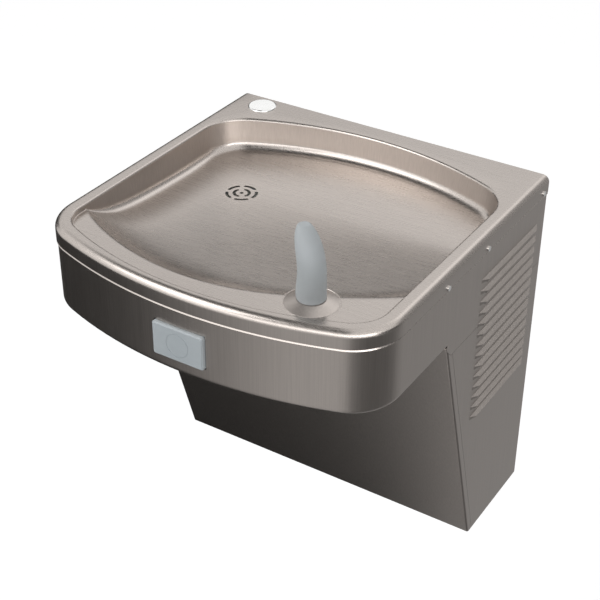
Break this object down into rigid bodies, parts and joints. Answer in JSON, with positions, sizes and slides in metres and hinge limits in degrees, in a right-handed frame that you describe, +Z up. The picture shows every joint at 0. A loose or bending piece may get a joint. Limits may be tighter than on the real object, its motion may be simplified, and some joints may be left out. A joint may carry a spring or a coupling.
{
  "type": "drinking fountain",
  "caption": "Wall-hung electric drinking fountain: drawn stainless basin with bubbler and drain, front push pad, slanted cabinet with side louvres and a cooling unit inside.",
  "frame": {"origin": "centre of the four wall bolt holes, on the wall plane at the cabinet's back", "axes": "+X to the right seen from the front, +Y into the wall, +Z up"},
  "size_m": [0.4622, 0.4665, 0.5562],
  "materials": {
    "stainless": "satin brushed",
    "galvanised": "galvanised",
    "bright_steel": "polished",
    "guard_rubber": "matt",
    "pad_plastic": "fine moulded grain",
    "dark_plastic": "matt",
    "white_plastic": "smooth",
    "brass": "machined",
    "steel_shaft": "ground",
    "tank_steel": "drawn",
    "foam": "closed-cell foam",
    "black_enamel": "semi-gloss enamel",
    "copper": "drawn copper",
    "fin_aluminium": "mill"
  },
  "bodies": {
    "cabinet": {"back_frame": "galvanised", "base_shelf": "galvanised", "basin": "stainless", "basin_screws": "bright_steel", "bubbler_gasket": "guard_rubber", "bubbler_guard": "guard_rubber", "bubbler_locknut": "brass", "bubbler_nozzle": "bright_steel", "bubbler_shank": "brass", "capillary_tube": "copper", "chiller_tank": "tank_steel", "compressor": "black_enamel", "compressor_bolts": "bright_steel", "compressor_feet": "guard_rubber", "condenser": "fin_aluminium", "cord_gland": "dark_plastic", "discharge_tube": "copper", "drain_cup": "white_plastic", "drain_gasket": "guard_rubber", "drain_nut": "white_plastic", "drain_screw": "bright_steel", "drain_tube": "white_plastic", "fan_bracket": "galvanised", "fan_motor": "black_enamel", "fan_shroud": "galvanised", "filter_drier": "copper", "hole_plug": "bright_steel", "inlet_strainer": "brass", "inlet_tube": "white_plastic", "junction_box": "dark_plastic", "left_side_panel": "stainless", "liquid_tube": "copper", "lower_front_panel": "stainless", "outlet_tube": "white_plastic", "pad_bezel": "dark_plastic", "panel_screws": "bright_steel", "regulator_valve": "brass", "relay_cover": "dark_plastic", "right_side_panel": "stainless", "strainer_clip": "galvanised", "suction_tube": "copper", "supply_tube": "white_plastic", "tank_jacket": "foam", "tank_shelf": "galvanised", "thermostat": "dark_plastic", "underside_pan": "stainless", "upper_wrapper": "stainless", "valve_bracket": "galvanised", "wall_hanger": "galvanised"},
    "pad": {"push_pad": "pad_plastic"},
    "stem": {"valve_stem": "steel_shaft"},
    "fan": {"fan_shaft": "steel_shaft", "fan_blade": "white_plastic"},
    "knob": {"thermostat_stem": "steel_shaft"}
  },
  "joints": [
    {"name": "pad_slide", "type": "slide", "parent": "cabinet", "child": "pad", "axis": [0, 1, 0], "range_m": [0, 0.005], "stiffness_N_per_m": 600, "springref_m": -0.003},
    {"name": "stem_slide", "type": "slide", "parent": "cabinet", "child": "stem", "axis": [0, 1, 0], "range_m": [0, 0.005]},
    {"name": "fan_spin", "type": "hinge", "parent": "cabinet", "child": "fan", "pos_m": [0.152, -0.09, -0.03], "axis": [1, 0, 0], "continuous": true},
    {"name": "thermostat_turn", "type": "hinge", "parent": "cabinet", "child": "knob", "pos_m": [-0.04, -0.03, 0.01], "axis": [0, -1, 0], "range_deg": [0, 270]}
  ],
  "couplings": [
    {"joint": "stem_slide", "follows": "pad_slide", "ratio": 1}
  ]
}
